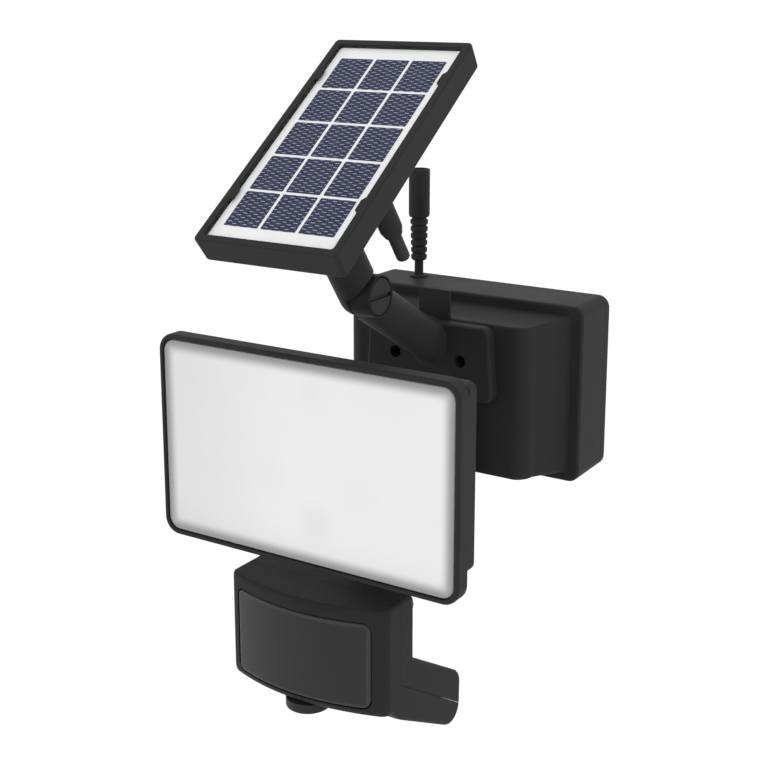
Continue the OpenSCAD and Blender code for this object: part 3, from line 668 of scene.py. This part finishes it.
def make_neck():
    """The panel's neck: a tube with a ball end at the knuckle and a spigot in the tray."""
    r, spigot_r, shoulder = BARREL_R - 0.03, 6, NECK_L - 0.3
    ball = [(-r * cos(pi / 2 * k / 14), r * sin(pi / 2 * k / 14) + 0.02, 0) for k in range(15)]
    stem = lathe(KNUCKLE, PANEL_OUT, ball + [
        (shoulder, BARREL_R, 0.5), (shoulder, spigot_r, 0), (NECK_L + 4, spigot_r, 0.4), (NECK_L + 4, 3, 0)],
        turns=80)
    piece("panel_neck", "neck", "shell_black", stem,
          cut=[saddle(KNUCKLE, 1), bore(KNUCKLE), recess(KNUCKLE, -1)])


def make_panel():
    """The tray with its clips, the cover, sheet and cells in it, and the plug under it."""
    hx, hu, seat = PANEL_W / 2, PANEL_L / 2, PANEL_T - WALL
    ledge_hx, ledge_hu, floor_hx, floor_hu = hx - 3.3, hu - 3.3, hx - 4.85, hu - 4.85
    tray = sections([
        (-PANEL_T, hx - 8, hu - 8, 3, 0), (-PANEL_T, hx - 0.5, hu - 0.3, 1.8, 1.1), (0, hx, hu, 1.8, 0.8),
        (0, ledge_hx, ledge_hu, 1.3, 0.3), (SHEET_BASE, ledge_hx, ledge_hu, 1.3, 0),
        (SHEET_BASE, floor_hx, floor_hu, 1.3, 0), (-seat, floor_hx, floor_hu, 1.3, 0)], on_panel)
    clips = []
    for side in (-1, 1):
        for u in (36.9, -33.5):
            shape = [(u - 4.4, 2.95), (u - 2.6, 4.65), (u + 2.6, 4.65), (u + 4.4, 2.95)]
            clips.append(loft([[on_panel(side * (hx - inset), at, h) for at, inset in shape]
                               for h in (-0.95, -0.1)]))
    plug = on_panel(PLUG_X, PLUG_U, -PANEL_T)
    holes = [drill(on_panel(0, ATTACH_U, -PANEL_T), PANEL_OUT, -1, 5, 6.06, 64),
             drill(plug, PANEL_OUT, -1, 5, 3.5)]
    piece("panel_frame", "panel", "shell_black", tray, *clips, cut=holes)
    hx, hu = hx - 3.45, hu - 3.45
    for name, look, top, base in (("panel_glass", "cover_clear", -1, -1.5),
                                  ("solar_sheet", "sheet_white", SHEET_TOP, SHEET_BASE)):
        piece(name, "panel", look, sections([
            (base, hx, hu, 1.4, 0), (top, hx, hu, 1.4, 0.12), (top, hx - 1, hu - 1, 1, 0)], on_panel))
    make_cells()
    piece("plug_body", "panel", "shell_black", lathe(plug, -PANEL_OUT, [
        (-3, 2, 0), (-3, 3.45, 0.2), (0, 3.45, 0), (0, 5.0, 0), (1.0, PLUG_R, 0.6),
        (PLUG_L - 3.4, PLUG_R, 0.8), (PLUG_L, 3.6, 0.7), (PLUG_L, 1.5, 0)], turns=48))
    piece("plug_barrel", "panel", "plug_dark", lathe(plug, -PANEL_OUT, [
        (PLUG_L, 1.5, 0), (PLUG_L, PLUG_TIP_R, 0.1), (PLUG_L + 1.2, PLUG_TIP_R, 0.1),
        (PLUG_L + 1.5, 2.55, 0.1), (PLUG_L + 1.8, PLUG_TIP_R, 0.1),
        (PLUG_L + PLUG_TIP, PLUG_TIP_R, 2.0), (PLUG_L + PLUG_TIP, 0.6, 0)], turns=40))


def make_cells():
    """Fifteen cells in one mesh, with places across and up the panel in its UV map."""
    verts, faces, places = [], [], []
    for i in (-1, 0, 1):
        for j in (-2, -1, 0, 1, 2):
            first = len(verts)
            for h, inset in ((SHEET_TOP, 0), (SHEET_TOP + 0.16, 0), (SHEET_TOP + 0.2, 0.06)):
                for x, u in rounded(CELL_W / 2 - inset, CELL_L / 2 - inset, 0.5, 2):
                    x, u = x + i * (CELL_W + CELL_GAP_X), u + j * (CELL_L + CELL_GAP_U)
                    verts.append(on_panel(x, u, h))
                    places.append((x, u))
            n = (len(verts) - first) // 3
            faces.append(tuple(first + 2 * n + k for k in range(n)))
            faces.append(tuple(first + k for k in reversed(range(n))))
            for level in (0, 1):
                for k in range(n):
                    a, b = first + level * n + k, first + level * n + (k + 1) % n
                    faces.append((a, b, b + n, a + n))
    mesh = bpy.data.meshes.new("solar_cells")
    mesh.from_pydata([v * MM for v in verts], [], faces)
    layer = mesh.uv_layers.new(name="UVMap")
    for loop in mesh.loops:
        layer.data[loop.index].uv = places[loop.vertex_index]
    mesh.materials.append(LOOKS["cell_blue"])
    obj = bpy.data.objects.new("look_solar_cells", mesh)
    scene.collection.objects.link(obj)
    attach(obj, "panel")
    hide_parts("solar_cells")


# ---- Lamp head

def make_head():
    """The swivel on the hub, and the lamp head: bezel, lens, and rear shell with its fins and lug."""
    base, swivel_h = HUB_Z1 + HUB_GAP, 13.5
    hub = lathe(Vector((0, HUB_Y, base)), Z, [
        (0, 3, 0), (0, HUB_R, 0.6), (swivel_h, HUB_R, 1.2), (swivel_h, 3, 0)])
    pin = rod(Vector((0, HUB_Y, 0)), Z, -19, -7, PIN_R, 0.4, 48)
    arm = block(0.15, BARREL_HALF, HEAD_PIVOT.y, HEAD_PIVOT.y + 24, base, base + swivel_h, 0.6, 1.5)
    piece("head_swivel", "swivel", "shell_black", hub, pin, arm, half_barrel(HEAD_PIVOT, 1),
          cut=[bore(HEAD_PIVOT), recess(HEAD_PIVOT, 1)])
    hx, hz = HEAD_W / 2, HEAD_H / 2
    bezel = sections([
        (BEZEL_Y - 3, 62, 31, 4, 0), (BEZEL_Y, 62, 31, 4, 0), (BEZEL_Y, hx, hz, 7, 0.15),
        (HEAD_Y, hx, hz, 7, 1.5), (HEAD_Y, hx - 2, hz - 2, 5.4, 0.5),
        (BEZEL_Y - 3, hx - 2, hz - 2.1, 5.3, 0)], facing(HEAD_ZC), closed=True, corner_steps=10)
    piece("head_bezel", "head", "shell_black", bezel)
    lens_hx, lens_hz, lens_y = hx - 2.2, hz - 2.3, HEAD_Y + 0.6
    lens = sections([
        (HEAD_Y + 3, lens_hx, lens_hz, 5.2, 0), (lens_y, lens_hx, lens_hz, 5.2, 0.9),
        (lens_y, hx - 6, hz - 6, 3, 0)], facing(HEAD_ZC), corner_steps=10)
    piece("head_lens", "head", "lens_frosted", lens)
    shell_hx, shell_hz = hx - 0.05, SHELL_H / 2
    shell = sections([
        (BEZEL_Y, 63.8, 32, 3.5, 0), (BEZEL_Y, shell_hx, shell_hz, 3.5, 0.06),
        (SHELL_Y, shell_hx, shell_hz, 3.5, 0.7), (SHELL_Y, 37.5, 28, 5, 1.5), (HUMP_Y, 35, 26, 4, 1.8),
        (HUMP_Y, 20, 12, 3, 0)], facing(SHELL_ZC))
    fins = [block(x - 1, x + 1, SHELL_Y - 1, SHELL_Y + 11, SHELL_ZC - FIN_HZ, SHELL_ZC + FIN_HZ, 0.4, 0.9)
            for x in FIN_PLACES]
    corners = [(x, SHELL_Y - 1.5, SHELL_ZC + z)
               for x in (-HEAD_SCREW_X, HEAD_SCREW_X) for z in (-HEAD_SCREW_Z, HEAD_SCREW_Z)]
    seats = [drill(Vector(at), Y, -0.06, 2.5, 2.9) for at in corners]
    lug = block(-BARREL_HALF, -0.15, HUMP_Y - 1, HEAD_PIVOT.y,
                HEAD_PIVOT.z - BARREL_R, HEAD_PIVOT.z + BARREL_R, 0.3, 0.4)
    piece("head_rear", "head", "shell_black", carved(shell, saddle(HEAD_PIVOT, 1)), *fins, lug,
          half_barrel(HEAD_PIVOT, -1), cut=[bore(HEAD_PIVOT), recess(HEAD_PIVOT, -1)] + seats)
    make_screws("head_screws", "head", corners, Y, 2.6, 1.3, 1.4, 6)


# ---- Motion sensor

def arc(x):
    """How far the sensor's curved front lies behind its nose."""
    return FRONT_R - sqrt(FRONT_R ** 2 - x * x)


def sensor_body():
    """The whole sensor: its side outline carried across X, with rounded sides and a curved front."""
    outline = soften([
        (SENSOR_NOSE, SENSOR_TOP, 2.2), (SENSOR_BACK, SENSOR_TOP, 3), (SENSOR_BACK, -84.9, 2),
        (-94, -108.0, 7), (-94.8, -133.8, 8.8), (-151.5, -102.8, 5), (SENSOR_NOSE, -101.8, 4.5)],
        closed=True, steps=6)
    dense = []
    for p, q in zip(outline, outline[1:] + outline[:1]):
        parts = max(1, int((q - p).length / 4))
        dense += [p.lerp(q, k / parts) for k in range(parts)]
    count = len(dense)
    area = sum(a.x * b.y - b.x * a.y for a, b in zip(dense, dense[1:] + dense[:1]))
    inward = []
    for i in range(count):
        along = dense[(i + 1) % count] - dense[i - 1]
        inward.append(Vector((along.y, -along.x)).normalized() * (-1 if area > 0 else 1))
    edge, side_r = 1.8, 3.2
    start = SENSOR_HALF - edge
    stations = [(x, 0) for x in (0, 4, 8, 12, 16, 20, 24, 27.5, 30, 32, 33.5, 34.3, 34.8, 35.2, start)]
    stations += [(start + edge * sin(pi / 12 * k), edge * (1 - cos(pi / 12 * k))) for k in range(1, 7)]

    def ring(x, inset):
        reach = max(0, abs(x) - SENSOR_HALF + side_r)
        back = arc(x) + side_r - sqrt(max(0, side_r ** 2 - reach ** 2))
        points = []
        for p, n in zip(dense, inward):
            y, z = p + n * inset
            if y < SENSOR_SPLIT:
                y = SENSOR_SPLIT + (y - SENSOR_SPLIT) * (1 - back / (SENSOR_SPLIT - SENSOR_NOSE))
            points.append(Vector((x, y, z)))
        return points

    left = [ring(-x, inset) for x, inset in reversed(stations)]
    return loft(left + [ring(x, inset) for x, inset in stations[1:]])


def curved_slab(hx, hz, corner, front, back, edge):
    """A rounded panel that follows the sensor's curved front, from front to back behind the nose's arc."""
    left = [-hx + corner * (1 - cos(pi / 2 * k / 8)) for k in range(8)]
    left += [-(hx - corner) + (hx - corner) * k / 12 for k in range(13)]
    rings = []
    for x in left + [-x for x in reversed(left[:-1])]:
        reach = max(0, abs(x) - (hx - corner))
        half = hz - corner + sqrt(max(0, corner ** 2 - reach ** 2))
        rim = edge * (1 - min(1, (hx - abs(x)) / edge)) if edge else 0
        y0, y1 = SENSOR_NOSE + arc(x) + front + rim, SENSOR_NOSE + arc(x) + back
        low, high = WINDOW_ZC - half, WINDOW_ZC + half
        outline = [(y0, low, edge), (y0, high, edge), (y1, high, 0), (y1, low, 0)]
        rings.append([Vector((x, p.x, p.y)) for p in soften(outline, closed=True, steps=4)])
    return loft(rings)


def rear_zone(shift):
    """The room behind the seam of the sensor's two halves. A positive shift draws the rear half back."""
    return prism([(SENSOR_SPLIT + shift, -50), (SENSOR_SPLIT + shift, -92.6 + shift), (-85, -128.3 + shift),
                  (-75, -128), (-75, -50)], -45, 45)


def make_sensor():
    """The stem under the hub, and the sensor: front and rear halves, window, screws and dial."""
    base, collar = -37.3, HUB_Z0 - HUB_GAP
    hub = lathe(Vector((0, HUB_Y, 0)), Z, [
        (base, 3, 0), (base, HUB_R, 1.2), (collar, HUB_R, 0.6), (collar, 3, 0)])
    pin = rod(Vector((0, HUB_Y, 0)), Z, -33, -22, PIN_R, 0.4, 48)
    top, leg_r = Vector((0, HUB_Y, -37)), 7.8
    length = (SENSOR_PIVOT - top).length
    leg = lathe(top, SENSOR_PIVOT - top, [(0, 3, 0), (0, leg_r, 0), (length, leg_r, 0), (length, 3, 0)])
    piece("sensor_stem", "stem", "shell_black", hub, pin, carved(leg, saddle(SENSOR_PIVOT, -1)),
          half_barrel(SENSOR_PIVOT, 1), cut=[bore(SENSOR_PIVOT), recess(SENSOR_PIVOT, 1)])
    seat_r, seat_top = DIAL_R + 0.3, DIAL_Z1 + 0.2
    dial_axis = Vector((0, DIAL_Y, 0))
    seat = lathe(dial_axis, Z, [(-110, 3, 0), (-110, seat_r, 0), (seat_top, seat_r, 0), (seat_top, 3, 0)])
    shaft = drill(dial_axis, Z, -110, -94, 2.55, 32)
    room = curved_slab(WINDOW_HX + 0.5, WINDOW_HZ + 0.5, 3.8, -3, 1.9, 0)
    piece("sensor_front", "sensor", "sensor_black_painted_shade", sensor_body(), cut=[rear_zone(-0.07), room, seat, shaft])
    web = block(-BARREL_HALF, -0.15, -134.5, SENSOR_PIVOT.y,
                SENSOR_PIVOT.z - 7, SENSOR_PIVOT.z + 7, 0.3, 0.5)
    rear = carved(sensor_body(), rear_zone(0.07), operation="INTERSECT")
    piece("sensor_rear", "sensor", "sensor_black_painted_shade", rear, web, half_barrel(SENSOR_PIVOT, -1),
          cut=[bore(SENSOR_PIVOT), recess(SENSOR_PIVOT, -1)])
    piece("sensor_window", "sensor", "window_dark", curved_slab(WINDOW_HX, WINDOW_HZ, 3.4, -0.35, 1.8, 1.0))
    places = [(x, SENSOR_BACK, SENSOR_SCREW_Z) for x in (-SENSOR_SCREW_X, SENSOR_SCREW_X)]
    make_screws("sensor_screws", "sensor", places, Y, 2.7, 1.3, 1.4, 7)
    dial = lathe(dial_axis, Z, [
        (DIAL_Z0, 3, 0), (DIAL_Z0, DIAL_R, 0.7), (DIAL_Z1, DIAL_R, 0.3), (DIAL_Z1, 2.5, 0),
        (-96, 2.5, 0.3), (-96, 1, 0)], turns=64)
    slot_half = DIAL_R - 1.5
    slot = block(-slot_half, slot_half, DIAL_Y - 0.8, DIAL_Y + 0.8, DIAL_Z0 - 1.5, DIAL_Z0 + 0.8, 0.05, 0.1)
    piece("sensor_dial", "dial", "plug_dark", dial, cut=[slot])


make_box()
make_screws("box_screws", "box", [(x, COVER_SCREW_Y, -BOX_H / 2 + COVER_SEAT_H)
                                  for x in (-COVER_SCREW_X, COVER_SCREW_X)], -Z, 2.6, 1.2, 1.3, 8)
make_lead()
make_brackets()
make_pivot("panel_pivot", "box", KNUCKLE)
make_pivot("head_pivot", "swivel", HEAD_PIVOT)
make_pivot("sensor_pivot", "stem", SENSOR_PIVOT)
make_neck()
make_panel()
make_head()
make_sensor()

# ---- Floor and light

FLOOR_HALF, FLOOR_Z = 14, -0.42
floor_mesh = bpy.data.meshes.new("floor")
floor_corners = [(x * FLOOR_HALF, y * FLOOR_HALF, FLOOR_Z) for x, y in ((-1, -1), (1, -1), (1, 1), (-1, 1))]
floor_mesh.from_pydata(floor_corners, [], [(0, 1, 2, 3)])
floor_look = surface("floor_pale", (0.97, 0.97, 0.97), 0.9, spec=0.0,
                     mottle=(2, 0.01), grain=(100, 0.01, 0.1))
floor_mesh.materials.append(floor_look[0])
floor = bpy.data.objects.new("floor", floor_mesh)
scene.collection.objects.link(floor)

world = bpy.data.worlds.new("studio")
scene.world = world
world.use_nodes = True
background = world.node_tree.nodes["Background"]
background.inputs["Color"].default_value = (1, 1, 1, 1)
background.inputs["Strength"].default_value = 1.05
scene.view_settings.view_transform = "Standard"


def softbox(name, place, target, size, watts):
    """A square lamp that faces a target."""
    data = bpy.data.lights.new(name, "AREA")
    data.shape = "RECTANGLE"
    data.size, data.size_y, data.energy = size, size, watts
    lamp = bpy.data.objects.new(name, data)
    lamp.location = place
    lamp.rotation_euler = (Vector(target) - Vector(place)).to_track_quat("-Z", "Y").to_euler()
    scene.collection.objects.link(lamp)


softbox("overhead", (0.1, -0.3, 1.5), (0, -0.1, 0), 1.6, 1.5)
softbox("left", (-1.4, -0.7, 0.3), (0, -0.1, 0), 1.0, 1.5)
